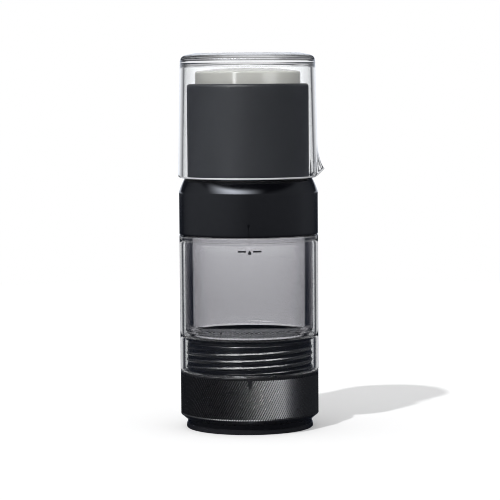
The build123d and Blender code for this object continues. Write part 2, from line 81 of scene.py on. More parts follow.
def startMaterial(name, values):
    # a Principled surface with its plain values, and the Object coordinates that its patterns read
    material = bpy.data.materials.new(name)
    material.use_nodes = True
    tree = material.node_tree
    tree.nodes.clear()
    surface = addNode(tree, "BsdfPrincipled", values)
    addNode(tree, "OutputMaterial", feeds={"Surface": surface.outputs[0]})
    place = addNode(tree, "TexCoord").outputs["Object"]
    return material, tree, surface, place


def noiseBetween(tree, place, sizeMm, low, high, detail=2.0):
    # soft noise with features of the given size, spread between two values
    fineness = {"Scale": 1 / (sizeMm * mm), "Detail": detail}
    noise = addNode(tree, "TexNoise", fineness, {"Vector": place})
    spread = {"From Min": 0.3, "From Max": 0.7, "To Min": low, "To Max": high}
    return addNode(tree, "MapRange", spread, {"Value": noise.outputs["Fac"]}).outputs["Result"]


def mouldedPlastic(name, dark, pale, rough, grainMm, grainDepthMm):
    # injection-moulded plastic: an even body colour with slight clouds, and the fine spark-eroded
    # grain of the mould, which breaks up the shine. The grain is drawn coarser than the real one.
    cloudMm = 9.0
    material, tree, surface, place = startMaterial(name, {"IOR": 1.53})
    clouds = noiseBetween(tree, place, cloudMm, 0.0, 1.0, 3.0)
    ends = {6: linear(dark), 7: linear(pale)}
    colours = addNode(tree, "Mix", ends, {0: clouds}, data_type="RGBA")
    tree.links.new(colours.outputs[2], surface.inputs["Base Color"])
    gloss = noiseBetween(tree, place, cloudMm / 3, *rough)
    tree.links.new(gloss, surface.inputs["Roughness"])
    fineness = {"Scale": 1 / (grainMm * mm), "Detail": 2.0}
    grain = addNode(tree, "TexNoise", fineness, {"Vector": place})
    relief = {"Strength": 1.0, "Distance": grainDepthMm * mm}
    bump = addNode(tree, "Bump", relief, {"Height": grain.outputs["Fac"]})
    tree.links.new(bump.outputs["Normal"], surface.inputs["Normal"])
    return material


def clearPlastic(name, tint, rough, smoke):
    # polished copolyester: clear through its body, with the faint rub marks of handling in its gloss.
    # It takes up light along its depth, so its edges are darker than its faces.
    rubMm = 6.0
    values = {"Base Color": linear(tint), "IOR": 1.55, "Transmission Weight": 1.0}
    material, tree, surface, place = startMaterial(name, values)
    rubs = noiseBetween(tree, place, rubMm, *rough, 4.0)
    tree.links.new(rubs, surface.inputs["Roughness"])
    colour, density = smoke
    depth = addNode(tree, "VolumeAbsorption", {"Color": (*colour, 1), "Density": density})
    tree.links.new(depth.outputs[0], tree.nodes["Material Output"].inputs["Volume"])
    return material


def drawnSteel(name, dark, pale, rough, lineMm):
    # rolled stainless sheet: fine parallel lines along X, seen as streaks in the gloss
    material, tree, surface, place = startMaterial(name, {"Metallic": 1.0})
    stretch = addNode(tree, "Mapping", {"Scale": (0.06, 1.0, 1.0)}, {"Vector": place})
    lines = noiseBetween(tree, stretch.outputs["Vector"], lineMm, 0.0, 1.0, 3.0)
    ends = {6: linear(dark), 7: linear(pale)}
    colours = addNode(tree, "Mix", ends, {0: lines}, data_type="RGBA")
    tree.links.new(colours.outputs[2], surface.inputs["Base Color"])
    gloss = addNode(tree, "MapRange", {"To Min": rough[0], "To Max": rough[1]}, {"Value": lines})
    tree.links.new(gloss.outputs["Result"], surface.inputs["Roughness"])
    return material


# Dark and pale colour, roughness from and to, grain width and grain depth in millimetres
finishes = {
    "black_plastic": mouldedPlastic(  # near-black, with clear streaks of shine
        "satinBlackAbs", "#0B0B0E", "#0D0D10", (0.09, 0.12), 0.5, 0.0004),
    "grip_plastic": mouldedPlastic(  # each small ridge keeps a soft glint
        "knurledBlackAbs", "#0C0C0E", "#0F0F11", (0.26, 0.32), 0.4, 0.001),
    "basket_plastic": mouldedPlastic(  # blue-black, with a bright line along every bead
        "glossBlackNylon", "#07080D", "#0A0B11", (0.18, 0.22), 0.7, 0.001),
    "foot_rubber": mouldedPlastic(  # smooth, a little greyer than the plastic
        "glossBlackElastomer", "#18181B", "#1C1C1F", (0.20, 0.26), 0.8, 0.001),
    "handle_plastic": mouldedPlastic(  # flat charcoal, almost without shine
        "mattGreyAbs", "#1D1E21", "#1F2023", (0.44, 0.50), 0.4, 0.004),
    "tamper_plastic": mouldedPlastic(  # warm pale grey with one narrow highlight
        "warmGreyAbs", "#A9A8A2", "#ADACA6", (0.12, 0.16), 0.5, 0.001),
    "silicone": mouldedPlastic(  # dull dark grey
        "greySilicone", "#15161A", "#1A1B20", (0.42, 0.52), 0.6, 0.006),
    "white_acetal": mouldedPlastic(  # milky white, slightly waxy
        "whiteAcetal", "#D8D8D2", "#E0E0DB", (0.30, 0.38), 0.5, 0.003),
    "stainless": drawnSteel(
        "rolledStainless", "#8D8F92", "#B9BBBD", (0.22, 0.40), 0.25),
    "clear_copolyester": clearPlastic(  # water-clear, grey only where one looks along the wall
        "clearCopolyester", "#FBFCFD", (0.0, 0.012), ((0.30, 0.30, 0.32), 5.0)),
    "smoke_copolyester": clearPlastic(  # smoke-grey, near black along the wall
        "smokeCopolyester", "#FAFAFB", (0.0, 0.012), ((0.166, 0.12, 0.158), 62.0)),
}
print("finishes:", len(finishes))


def rounded(corners, steps):
    # an outline of (radius, level, rounding) corners: a corner with a rounding becomes an arc that
    # touches both its sides, whose centre is on the line halfway between them
    points = []
    count = len(corners)
    for k, (r, z, bend) in enumerate(corners):
        here = np.array([r, z], float)
        if bend == 0:
            points.append(here[None])
            continue
        back = np.array(corners[k - 1][:2]) - here
        ahead = np.array(corners[(k + 1) % count][:2]) - here
        back = back / np.linalg.norm(back)
        ahead = ahead / np.linalg.norm(ahead)
        half = np.arccos(np.clip(back @ ahead, -1, 1)) / 2
        middle = (back + ahead) / np.linalg.norm(back + ahead)
        centre = here + middle * bend / np.sin(half)
        first = here + back * bend / np.tan(half) - centre
        last = here + ahead * bend / np.tan(half) - centre
        begin = np.arctan2(first[1], first[0])
        sweep = (np.arctan2(last[1], last[0]) - begin + np.pi) % (2 * np.pi) - np.pi
        turn = begin + sweep * np.linspace(0, 1, steps + 1)
        points.append(centre + bend * np.stack([np.cos(turn), np.sin(turn)], -1))
    return np.concatenate(points)


def refined(outline, step):
    # the same outline with extra points wherever two neighbours are further apart than the step
    closed = outline[0, 0] > 0
    line = np.concatenate([outline, outline[:1]]) if closed else outline
    along = np.concatenate([[0], np.cumsum(np.linalg.norm(np.diff(line, axis=0), axis=1))])
    places = [np.linspace(a, b, int(np.ceil((b - a) / step)) + 1)[:-1]
              for a, b in zip(along[:-1], along[1:])]
    places = np.concatenate(places + ([] if closed else [along[-1:]]))
    return np.stack([np.interp(places, along, line[:, k]) for k in (0, 1)], -1)


def withRows(outline, radius, rows):
    # the same outline with its points on the wall of that radius, between the first row and the
    # last, put at the given levels instead
    r, z = outline.T
    between = (z > rows[0] - nearWall) & (z < rows[-1] + nearWall)
    wall = (np.abs(r - radius) < onWall) & between
    begin = np.flatnonzero(wall)[0]
    lines = np.stack([np.full(len(rows), radius), rows], -1)
    return np.concatenate([outline[:begin][~wall[:begin]], lines, outline[begin:][~wall[begin:]]])


def anglesAround(count, fineWidth=0.0, fineCount=0):
    # even angles round the axis, with extra ones close together at the front
    even = np.arange(count) * 2 * np.pi / count - np.pi
    if not fineCount:
        return even
    fine = front + np.linspace(-fineWidth, fineWidth, fineCount)
    coarse = even[np.abs(even - front) > fineWidth + np.pi / count]
    return np.sort(np.concatenate([coarse, fine]))


def revolved(outline, angles, shape=None, lean=None):
    # a point (r, z) of the outline at angle a stands at (r cos a, r sin a, z), after lean has turned
    # it by its level and shape has moved r and z. An outline off the axis closes into a ring.
    r, a = np.broadcast_arrays(outline[:, :1], angles[None])
    z = np.broadcast_to(outline[:, 1:], r.shape)
    if lean is not None:
        a = a + lean(z)
    if shape is not None:
        r, z = shape(r, z, a)
    points = np.stack([r * np.cos(a), r * np.sin(a), z], -1).reshape(-1, 3)
    rows, columns = r.shape
    i = np.arange(rows if outline[0, 0] > 0 else rows - 1)[:, None]
    j = np.arange(columns)[None]
    low, high, right = i * columns, (i + 1) % rows * columns, (j + 1) % columns
    quads = np.stack([low + j, low + right, high + right, high + j], -1)
    return points, quads.reshape(-1, 4)


def repeated(points, faces, places):
    # the same small shape at several places: its points moved to each, its faces numbered onwards
    firsts = len(points) * np.arange(len(places))[:, None, None]
    return (points[None] + places[:, None]).reshape(-1, 3), (faces[None] + firsts).reshape(-1, 4)


def addPiece(name, points, faces, body, slot, stands=(), sharp=40.0, outward=True):
    # puts the arrays into a mesh, closes seams and poles, points the faces outwards and creases
    # the edges that turn by more than the sharp angle
    mesh = bpy.data.meshes.new(name)
    mesh.from_pydata((points * mm).tolist(), [], faces.tolist())
    tidy = bmesh.new()
    tidy.from_mesh(mesh)
    bmesh.ops.remove_doubles(tidy, verts=tidy.verts, dist=1e-7)
    if outward:
        bmesh.ops.recalc_face_normals(tidy, faces=tidy.faces)
    tidy.to_mesh(mesh)
    tidy.free()
    mesh.shade_smooth()
    mesh.set_sharp_from_angle(angle=np.radians(sharp))
    piece = bpy.data.objects.new(name, mesh)
    scene.collection.objects.link(piece)
    mesh.materials.append(finishes[slot])
    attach(piece, body)
    if stands:
        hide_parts(*stands)
    print("piece:", name, len(mesh.polygons), "faces")
    return piece


def threadHeight(z, a, thread, low, high):
    # two-start right-hand screw: the distance d from the nearest crest line, along the axis, gives a
    # rounded bead, which runs out over the last stretch at both ends
    turns = (z - thread["frontCrest"]) / thread["pitch"] - (a - front) / np.pi
    d = np.abs((turns + 0.5) % 1 - 0.5) * thread["pitch"]
    bead = np.clip((thread["halfWidth"] - d) / thread["flank"], 0, 1)
    bead = bead * bead * (3 - 2 * bead)
    ends = np.clip(np.minimum(z - low, high - z) / thread["runOut"], 0, 1)
    return thread["depth"] * bead * ends


def notch(a, r, halfWidth, edge):
    # 1 on a strip at the front, 0 away from it, with soft edges, across a width along the surface
    across = np.abs((a - front + np.pi) % (2 * np.pi) - np.pi) * r
    return np.clip((halfWidth + edge - across) / edge, 0, 1)


screw = {"frontCrest": 36.7, "pitch": 3.75, "halfWidth": 1.0, "flank": 0.95, "runOut": 1.2,
         "depth": 0.62}

# Clear carafe, upside down: a tapered cup with a pouring lip at +X
carafe = {"wall": 2.4, "floor": 6.7, "swell": 0.4, "taper": 1.5, "stand": 8.7, "standRound": 1.2,
          "shoulderDrop": 1.9, "pushUp": 1.6, "sunk": 0.6, "crown": 0.6, "corner": 3.5,
          "innerCorner": 2.2, "lipRound": 1.15, "edgeR": 0.50, "edgeLift": 0.05, "edgeSides": 12,
          "spoutHeight": 19.0, "spoutLift": 4.2, "spoutAngles": (0.17, 0.30), "spoutPower": 1.7,
          "liftPower": 3, "spoutSteps": 81, "spoutGap": 0.02, "around": 240, "step": 0.75}
rim, top, rimR = levels("carafe")
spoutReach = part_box("carafe")[1].x / mm - rimR - carafe["swell"]
rimR = rimR + carafe["swell"]
ceiling = top - carafe["floor"]
top = top - carafe["sunk"]
shoulderR = rimR - carafe["taper"]
standR = shoulderR - carafe["stand"]
carafeOutline = rounded([
    (0, top - carafe["pushUp"], 0),
    (standR - carafe["pushUp"], top - carafe["pushUp"], carafe["standRound"]),
    (standR, top, carafe["standRound"]),
    (shoulderR, top - carafe["shoulderDrop"], carafe["corner"]),
    (rimR, rim, carafe["lipRound"]),
    (rimR - carafe["wall"], rim, carafe["lipRound"]),
    (shoulderR - carafe["wall"], ceiling, carafe["innerCorner"]),
    (0, ceiling + carafe["crown"], 0),
], steps=10)


def pourLip(r, z, a):
    # share runs from 0 at the top of the spout to 1 at the rim; the wall swells out by share to a
    # power times a cosine bell that widens towards the rim, and the rim rises along the bell
    share = np.clip(1 - (z - rim) / carafe["spoutHeight"], 0, 1) * (r > 1)
    narrow, wide = carafe["spoutAngles"]
    across = np.clip(np.abs(a) / (narrow + (wide - narrow) * share), 0, 1)
    bell = np.cos(across * np.pi / 2) ** 2
    out = spoutReach * bell * share ** carafe["spoutPower"]
    return r + out, z + carafe["spoutLift"] * bell * share ** carafe["liftPower"]


spoutSide = carafe["spoutAngles"][1]
cupAngles = anglesAround(carafe["around"])
cupAngles = np.sort(np.concatenate([
    cupAngles[np.abs(cupAngles) > spoutSide + carafe["spoutGap"]],
    np.linspace(-spoutSide, spoutSide, carafe["spoutSteps"])]))
points, faces = revolved(refined(carafeOutline, carafe["step"]), cupAngles, pourLip)
carafePiece = addPiece("carafeCup", points, faces, "carafe", "clear_copolyester", ("carafe",), 60)

# A pale ring set just inside the carafe's lower edge stands in for the bright line of light along the
# rim: a painted highlight
rimHighlight = mouldedPlastic("paintedRimHighlight", "#E4E5E8", "#ECEDEF", (0.30, 0.40), 0.3, 0.004)
edgeTurn = np.linspace(0, 2 * np.pi, carafe["edgeSides"], endpoint=False)
edgeOutline = np.stack([
    rimR - carafe["lipRound"] + carafe["edgeR"] * np.cos(edgeTurn),
    rim + carafe["edgeLift"] + carafe["edgeR"] * (1 + np.sin(edgeTurn))], -1)
points, faces = revolved(edgeOutline, cupAngles, pourLip)
edgePiece = addPiece("carafeRimLine", points, faces, "carafe", "clear_copolyester", sharp=60)
edgePiece.data.materials[0] = rimHighlight

# Clear outer shell, with the index rib in its skirt
shell = {"slim": 0.2, "wall": 2.2, "skirtWall": 2.9, "seat": 0.6, "flange": 2.8, "skirtTop": 19.5,
         "stepRound": 0.6, "lead": 0.6, "edge": 0.5, "ribHeight": 4.2, "ribHalfWidth": 0.75,
         "ribDepth": 0.3, "ribReach": 0.3, "ribEdge": 0.3, "ribFade": 0.4, "ribRow": 0.2,
         "ribMargin": 0.6, "around": 320, "fine": (0.05, 41), "step": 1.5}
shellLow, shellTop, shellR = levels("outer_shell")
boreR = shellR - shell["wall"]
skirtR = shellR - shell["skirtWall"]
shellR = shellR - shell["slim"]
skirtTop = shellLow + shell["skirtTop"]
shellOutline = rounded([
    (skirtR + shell["lead"], shellLow, smallEdge),
    (shellR, shellLow, shell["edge"]),
    (shellR, shellTop, shell["edge"]),
    (boreR + shell["seat"], shellTop, smallEdge),
    (boreR + shell["seat"], shellTop - shell["flange"], crispEdge),
    (boreR, shellTop - shell["flange"], crispEdge),
    (boreR, skirtTop + boreR - skirtR, shell["stepRound"]),
    (skirtR, skirtTop, shell["stepRound"]),
    (skirtR, shellLow + shell["lead"], softEdge),
], steps=4)


def skirtRib(r, z, a):
    # the rib at the front is pressed into the outside of the skirt, and ends softly at its top
    ribEnd = np.clip((shellLow + shell["ribHeight"] - z) / shell["ribFade"], 0, 1)
    rib = notch(a, r, shell["ribHalfWidth"], shell["ribEdge"]) * ribEnd
    return r - shell["ribDepth"] * rib * (r > shellR - shell["ribReach"]), z


ribTop = shellLow + shell["ribHeight"] + shell["ribMargin"]
ribRows = np.arange(shellLow + shell["edge"], ribTop, shell["ribRow"])
shellLine = withRows(refined(shellOutline, shell["step"]), shellR, ribRows)
points, faces = revolved(shellLine, anglesAround(shell["around"], *shell["fine"]), skirtRib)
shellPiece = addPiece(
    "chamberShell", points, faces, "chamber", "clear_copolyester", ("outer_shell",), 50)

# Smoke-grey inner vessel, with the neck that the pump screws on
vessel = {"wall": 4.3, "draft": 0.3, "lip": 3.4, "cornerHeight": 4.2, "gap": 1.0, "flange": 2.8,
          "bevel": 0.6, "outerRound": 4.5, "innerRound": 6.0, "neckCrest": 3.4, "screwFrom": 0.8,
          "screwTo": 0.6, "lineHeight": 2.6, "lineHalfWidth": 0.25, "lineDepth": 0.2,
          "lineEdge": 0.15, "lineFade": 0.3, "around": 320, "fine": (0.03, 31), "step": 0.6}
vesselLow, neckTop, flangeR = levels("inner_chamber")
vesselR = boreR - vessel["gap"]
vesselBore = vesselR - vessel["wall"]
flangeLow = shellTop - vessel["flange"]
neckR = levels("brew_basket")[2]
vesselOutline = rounded([
    (vesselBore - vessel["lip"], vesselLow, softEdge),
    (vesselR, vesselLow, vessel["outerRound"]),
    (vesselR, flangeLow, softEdge),
    (flangeR, flangeLow, crispEdge),
    (flangeR, shellTop, smallEdge),
    (neckR, shellTop, softEdge),
    (neckR, neckTop, vessel["bevel"]),
    (vesselBore + vessel["draft"], neckTop, vessel["bevel"]),
    (vesselBore, vesselLow + vessel["cornerHeight"], vessel["innerRound"]),
], steps=5)
neckThread = dict(screw, frontCrest=shellTop + vessel["neckCrest"])


def neckScrew(r, z, a):
    # male beads on the neck above the flange, and a thin index line on the wall at the front
    low, high = shellTop + vessel["screwFrom"], neckTop - vessel["screwTo"]
    beads = threadHeight(z, a, neckThread, low, high)
    beads = beads * (np.abs(r - neckR) < nearWall) * (z > shellTop)
    lineEnd = np.clip((z - (flangeLow - vessel["lineHeight"])) / vessel["lineFade"], 0, 1)
    line = notch(a, r, vessel["lineHalfWidth"], vessel["lineEdge"]) * lineEnd
    line = line * (np.abs(r - vesselR) < nearWall) * (z < shellTop)
    return r + beads + vessel["lineDepth"] * line, z


vesselLine = refined(vesselOutline, vessel["step"])
points, faces = revolved(vesselLine, anglesAround(vessel["around"], *vessel["fine"]), neckScrew)
vesselPiece = addPiece(
    "waterVessel", points, faces, "chamber", "smoke_copolyester", ("inner_chamber",), 50)

# Coffee basket, with the male screw that shows through the clear skirt
basket = {"wall": 4.1, "socketWall": 2.0, "shoulder": 16.6, "bevel": 0.6, "around": 320, "step": 1.5,
          "screwFrom": 1.0, "screwTo": 14.6, "screwStep": 0.11, "screwMargin": 0.2}
basketLow, basketRim, basketR = levels("brew_basket")
gripLow, gripTop, gripR = levels("grip_ring")
screwLow = gripTop + basket["screwFrom"]
screwTop = gripTop + basket["screwTo"]
basketOutline = rounded([
    (basketR - basket["socketWall"], basketLow, smallEdge),
    (basketR, basketLow, smallEdge),
    (basketR, basketRim, basket["bevel"]),
    (basketR - basket["wall"], basketRim, basket["bevel"]),
    (basketR - basket["wall"], basketLow + basket["shoulder"], smallEdge),
    (basketR - basket["socketWall"], basketLow + basket["shoulder"], smallEdge),
], steps=4)


def basketScrew(r, z, a):
    # male beads stand out from the basket's wall
    return r + threadHeight(z, a, screw, screwLow, screwTop) * (r > basketR - nearWall), z


screwRows = np.arange(
    screwLow - basket["screwMargin"], screwTop + basket["screwMargin"], basket["screwStep"])
basketLine = withRows(refined(basketOutline, basket["step"]), basketR, screwRows)
points, faces = revolved(basketLine, anglesAround(basket["around"]), basketScrew)
basketPiece = addPiece("brewBasket", points, faces, "base", "basket_plastic", ("brew_basket",), 50)

# Pump collar: a screw skirt under a coned shoulder, with an index groove at the front and four screw
# posts inside
collar = {"slim": 0.45, "lead": 0.6, "ledge": 124.0, "ledgeWidth": 2.6, "wall": 2.6, "hole": 26.9,
          "topLip": 0.8, "topEdge": 0.25, "cone": 7.95, "coneRound": 3.0, "brow": (3.75, 1.36),
          "browRound": 38.0, "edge": 0.4, "screwDepth": 0.6, "screwFrom": 1.0, "screwTo": 1.4,
          "grooveHeight": 5.6, "grooveHalfWidth": 0.2, "grooveDepth": 0.3, "grooveEdge": 0.15,
          "grooveFade": 0.3, "grooveReach": 0.45, "dimpleR": 0.75, "dimpleDepth": 0.3,
          "postR": 2.4, "postBore": 1.6, "postRing": 30.0, "postDepth": 9.0, "postEdge": 0.1,
          "postAxis": 0.0001, "postAround": 32, "around": 300, "fine": (0.03, 41), "step": 0.8}
collarLow, collarTop, collarR = levels("pump_collar")
collarR = collarR - collar["slim"]
shoulderLow = collarTop - collar["cone"]
collarRoof = collarTop - collar["wall"]
collarTopR = levels("pump_handle")[2] + collar["topLip"]
collarInside = skirtR - collar["ledgeWidth"]
browDrop, browIn = collar["brow"]
collarOutline = rounded([
    (skirtR + collar["lead"], collarLow, crispEdge),
    (collarR, collarLow, collar["edge"]),
    (collarR, shoulderLow, collar["coneRound"]),
    (collarR - browIn, collarTop - browDrop, collar["browRound"]),
    (collarTopR, collarTop, collar["topEdge"]),
    (collar["hole"], collarTop, smallEdge),
    (collar["hole"], collarRoof, smallEdge),
    (collarTopR - collar["wall"], collarRoof, collar["edge"]),
    (collarInside, shoulderLow, collar["edge"]),
    (collarInside, collar["ledge"], crispEdge),
    (skirtR, collar["ledge"], smallEdge),
    (skirtR, collarLow + collar["lead"], crispEdge),
], steps=8)
collarThread = dict(neckThread, frontCrest=neckThread["frontCrest"] + screw["pitch"] / 2,
                    depth=collar["screwDepth"])


def collarScrew(r, z, a):
    # female beads stand in from the skirt's bore; outside, a groove runs up from the lower edge at
    # the front and ends in a round dimple
    low, high = collarLow + collar["screwFrom"], collar["ledge"] - collar["screwTo"]
    beads = threadHeight(z, a, collarThread, low, high) * (np.abs(r - skirtR) < nearWall)
    up = z - collarLow
    across = ((a - front + np.pi) % (2 * np.pi) - np.pi) * r
    grooveEnd = np.clip((collar["grooveHeight"] - up) / collar["grooveFade"], 0, 1)
    groove = notch(a, r, collar["grooveHalfWidth"], collar["grooveEdge"]) * grooveEnd
    far = np.hypot(across, up - collar["grooveHeight"]) / collar["dimpleR"]
    dimple = np.clip(1 - far * far, 0, 1)
    sink = np.maximum(groove * collar["grooveDepth"], dimple * collar["dimpleDepth"])
    return r - beads - sink * (r > collarR - collar["grooveReach"]), z


collarLine = refined(collarOutline, collar["step"])
points, faces = revolved(collarLine, anglesAround(collar["around"], *collar["fine"]), collarScrew)
collarPiece = addPiece("pumpCollarShell", points, faces, "pump", "black_plastic", ("pump_collar",))
boreEnd = collar["ledge"] + collar["postDepth"]
postOutline = rounded([
    (collar["postBore"], collar["ledge"], collar["postEdge"]),
    (collar["postR"], collar["ledge"], smallEdge),
    (collar["postR"], collarRoof, 0),
    (collar["postAxis"], collarRoof, 0),
    (collar["postAxis"], boreEnd, 0),
    (collar["postBore"], boreEnd, smallEdge),
], steps=3)
quarters = np.arange(4) * np.pi / 2
stand = np.stack([np.cos(quarters), np.sin(quarters), np.zeros(4)], -1) * collar["postRing"]
points, faces = repeated(*revolved(postOutline, anglesAround(collar["postAround"])), stand)
addPiece("collarPosts", points, faces, "pump", "black_plastic")

# Pump handle: a deep cup with a rounded top edge, a ring for the tamper, a boss for the rod and ribs
handle = {"slim": 0.65, "wall": 1.8, "roof": 2.5, "roofRound": 1.0, "edge": 1.8, "lowEdge": 0.4,
          "ringR": 26.6, "ringWall": 1.8, "ringHeight": 3.2, "bossR": 10.0, "bossHeight": 7.0,
          "bossEdge": 0.5, "bossRoot": 0.6, "socketR": 6.1, "socketDepth": 5.5, "holeR": 1.6,
          "sinkR": 2.7, "sinkDepth": 1.5, "ribs": 6, "ribWidth": 1.6, "ribHeight": 4.5,
          "ribSunk": 0.3, "around": 240, "step": 2.0}
handleLow, ringTop, handleR = levels("pump_handle")
handleTop = ringTop - handle["ringHeight"]
handleR = handleR - handle["slim"]
handleBore = handleR - handle["wall"]
roof = handleTop - handle["roof"]
boss = roof - handle["bossHeight"]
socketEnd = boss + handle["socketDepth"]
ringInside = handle["ringR"] - handle["ringWall"]
handleOutline = rounded([
    (handle["holeR"], socketEnd, 0),
    (handle["socketR"], socketEnd, smallEdge),
    (handle["socketR"], boss, softEdge),
    (handle["bossR"], boss, handle["bossEdge"]),
    (handle["bossR"], roof, handle["bossRoot"]),
    (handleBore, roof, handle["roofRound"]),
    (handleBore, handleLow, softEdge),
    (handleR, handleLow, handle["lowEdge"]),
    (handleR, handleTop, handle["edge"]),
    (handle["ringR"], handleTop, smallEdge),
    (handle["ringR"], ringTop, softEdge),
    (ringInside, ringTop, softEdge),
    (ringInside, handleTop, smallEdge),
    (handle["sinkR"], handleTop, crispEdge),
    (handle["sinkR"], handleTop - handle["sinkDepth"], 0),
    (handle["holeR"], handleTop - handle["sinkDepth"], 0),
], steps=6)
points, faces = revolved(refined(handleOutline, handle["step"]), anglesAround(handle["around"]))
addPiece("handleCup", points, faces, "handle", "handle_plastic", ("pump_handle",))
# a rib's corners are (along, across, level), turned to each of its places; its ends run into the
# boss, the wall and the roof
along = np.array([handle["bossR"] - handle["ribSunk"], handleBore + handle["ribSunk"]])
across = np.array([-0.5, 0.5]) * handle["ribWidth"]
height = np.array([roof - handle["ribHeight"], roof + handle["ribSunk"]])
x, y, z = np.stack(np.meshgrid(along, across, height, indexing="ij"), -1).reshape(-1, 3).T
turn = np.arange(handle["ribs"])[:, None] * 2 * np.pi / handle["ribs"]
points = np.stack([x * np.cos(turn) - y * np.sin(turn), x * np.sin(turn) + y * np.cos(turn),
                   np.broadcast_to(z, (handle["ribs"], len(z)))], -1).reshape(-1, 3)
block = np.array([[0, 1, 3, 2], [4, 6, 7, 5], [0, 4, 5, 1],
                  [2, 3, 7, 6], [0, 2, 6, 4], [1, 5, 7, 3]])
faces = (block[None] + len(z) * np.arange(handle["ribs"])[:, None, None]).reshape(-1, 4)
addPiece("handleRibs", points, faces, "handle", "handle_plastic")

# Knurled grip sleeve: a deep and a shallow set of V-grooves cross and leave rows of small ridges
grip = {"slim": 0.2, "fit": 0.1, "chamferR": 3.1, "chamferH": 2.6, "chamferEdge": 0.4,
        "rimEdge": 0.25, "grooves": 178, "diamondHeight": 2.52, "depth": 0.42, "crossDepth": 0.06,
        "crest": 0.15, "plainTop": 0.5, "plainBottom": 0.4, "step": 1.2}
gripR = gripR - grip["slim"]
knurlLow = gripLow + grip["chamferH"] + grip["plainBottom"]
rowStep = grip["diamondHeight"] / 4
rowCount = int((gripTop - grip["plainTop"] - knurlLow) / rowStep) + 1
knurlRows = knurlLow + rowStep * np.arange(rowCount)
knurlTop = knurlRows[-1]
gripPlain = rounded([
    (gripR, gripTop, grip["rimEdge"]),
    (basketR + grip["fit"], gripTop, smallEdge),
    (basketR + grip["fit"], gripLow, smallEdge),
    (gripR - grip["chamferR"], gripLow, grip["rimEdge"]),
    (gripR, gripLow + grip["chamferH"], grip["chamferEdge"]),
], steps=3)
gripOutline = withRows(refined(gripPlain, grip["step"]), gripR, knurlRows)
# two columns of the mesh stand at the sides of each crest and one in the groove after it
grooveTurn = 2 * np.pi / grip["grooves"]
columns = [-grip["crest"] / 2, grip["crest"] / 2, 0.5]
grooveAngles = (np.arange(grip["grooves"])[:, None] + columns).ravel() * grooveTurn


def grooveLean(z):
    # the columns lean by one groove for each diamond of height
    return front + (np.clip(z, knurlLow, knurlTop) - knurlLow) / grip["diamondHeight"] * grooveTurn


def knurl(r, z, a):
    # each set of grooves is a triangle wave of the angle plus or minus the level, the deep set with
    # a flat crest; the lower of the two gives the ridges, which fade to plain at the rims
    u = (a - front) * grip["grooves"] / (2 * np.pi)
    v = (z - knurlLow) / grip["diamondHeight"]
    shallow, deep = [np.abs(2 * ((w + 0.5) % 1) - 1) for w in (u + v, u - v)]
    deep = np.clip((deep - grip["crest"]) / (1 - grip["crest"]), 0, 1)
    drop = np.maximum(grip["depth"] * deep, grip["crossDepth"] * shallow)
    inside = (z >= knurlLow - onWall) & (z <= knurlTop + onWall) & (r > gripR - onWall)
    rims = np.clip(np.minimum(z - knurlLow, knurlTop - z) / rowStep, 0, 1)
    return r - inside * drop * rims, z


points, faces = revolved(gripOutline, grooveAngles, knurl, grooveLean)
gripPiece = addPiece("knurledGrip", points, faces, "base", "grip_plastic", ("grip_ring",), sharp=8)

# Dispersion screen: a sheet of hexagon cells, each with a round hole, held in a flat rim
sieve = {"pitch": 2.6, "holeR": 0.85, "rimInside": 26.2, "sheet": 0.3, "sides": 12, "lowEdge": 0.1,
         "around": 200}
sieveLow, sieveTop, sieveR = levels("dispersion_screen")
sheetZ = sieveTop - (sieveTop - sieveLow - sieve["sheet"]) / 2
reach = int(sieveR / sieve["pitch"]) + 2
span = np.arange(-reach, reach + 1)
row, column = np.meshgrid(span, span, indexing="ij")
centres = np.stack([(column + row / 2) * sieve["pitch"],
                    row * sieve["pitch"] * np.sqrt(0.75), np.zeros(row.shape)], -1).reshape(-1, 3)
kept = np.hypot(centres[:, 0], centres[:, 1]) < sieve["rimInside"] + sieve["pitch"] / 2
# a cell runs from the corners and side middles of its hexagon in to its hole
side = np.arange(sieve["sides"])
turn = side * 2 * np.pi / sieve["sides"] + np.pi / 6
outer = np.where(side % 2 == 0, sieve["pitch"] / np.sqrt(3), sieve["pitch"] / 2)
radii = np.concatenate([outer, np.full(sieve["sides"], sieve["holeR"])])
turns = np.concatenate([turn, turn])
cell = np.stack([np.cos(turns) * radii, np.sin(turns) * radii, np.full(len(turns), sheetZ)], -1)
after = (side + 1) % sieve["sides"]
quads = np.stack([side, after, after + sieve["sides"], side + sieve["sides"]], -1)
points, faces = repeated(cell, quads, centres[kept])
sievePiece = addPiece("screenSheet", points, faces, "chamber", "stainless",
                      ("dispersion_screen",), sharp=30, outward=False)
thick = sievePiece.modifiers.new("thickness", "SOLIDIFY")
thick.thickness = sieve["sheet"] * mm
sieveRim = rounded([
    (sieve["rimInside"], sieveLow, sieve["lowEdge"]),
    (sieveR, sieveLow, sieve["lowEdge"]),
    (sieveR, sieveTop, crispEdge),
    (sieve["rimInside"], sieveTop, crispEdge),
], steps=3)
points, faces = revolved(sieveRim, anglesAround(sieve["around"]))
addPiece("screenRim", points, faces, "chamber", "stainless")

# Fill mark: two dashes and a drop, printed on the outside of the inner vessel; and a pointed index
# mark on the knurl. Screen-printed ink is a flat black whose thin coat dries with a mottled sheen.
mark = {"level": 101.0, "lift": 0.04, "offset": 0.45, "dashFrom": 1.9, "dashTo": 6.4,
        "dashHeight": 0.95, "dropWidth": 1.45, "dropHeight": 2.6, "dropLevel": -0.4,
        "indexWidth": 1.25, "indexTop": 0.5, "indexHeight": 6.4, "mottleSize": 0.3,
        "sheen": (0.35, 0.55)}
ink, inkTree, inkSurface, inkPlace = startMaterial(
    "screenPrintedInk", {"Base Color": linear("#0A0A0C"), "IOR": 1.5})
mottle = noiseBetween(inkTree, inkPlace, mark["mottleSize"], *mark["sheen"])
inkTree.links.new(mottle, inkSurface.inputs["Roughness"])


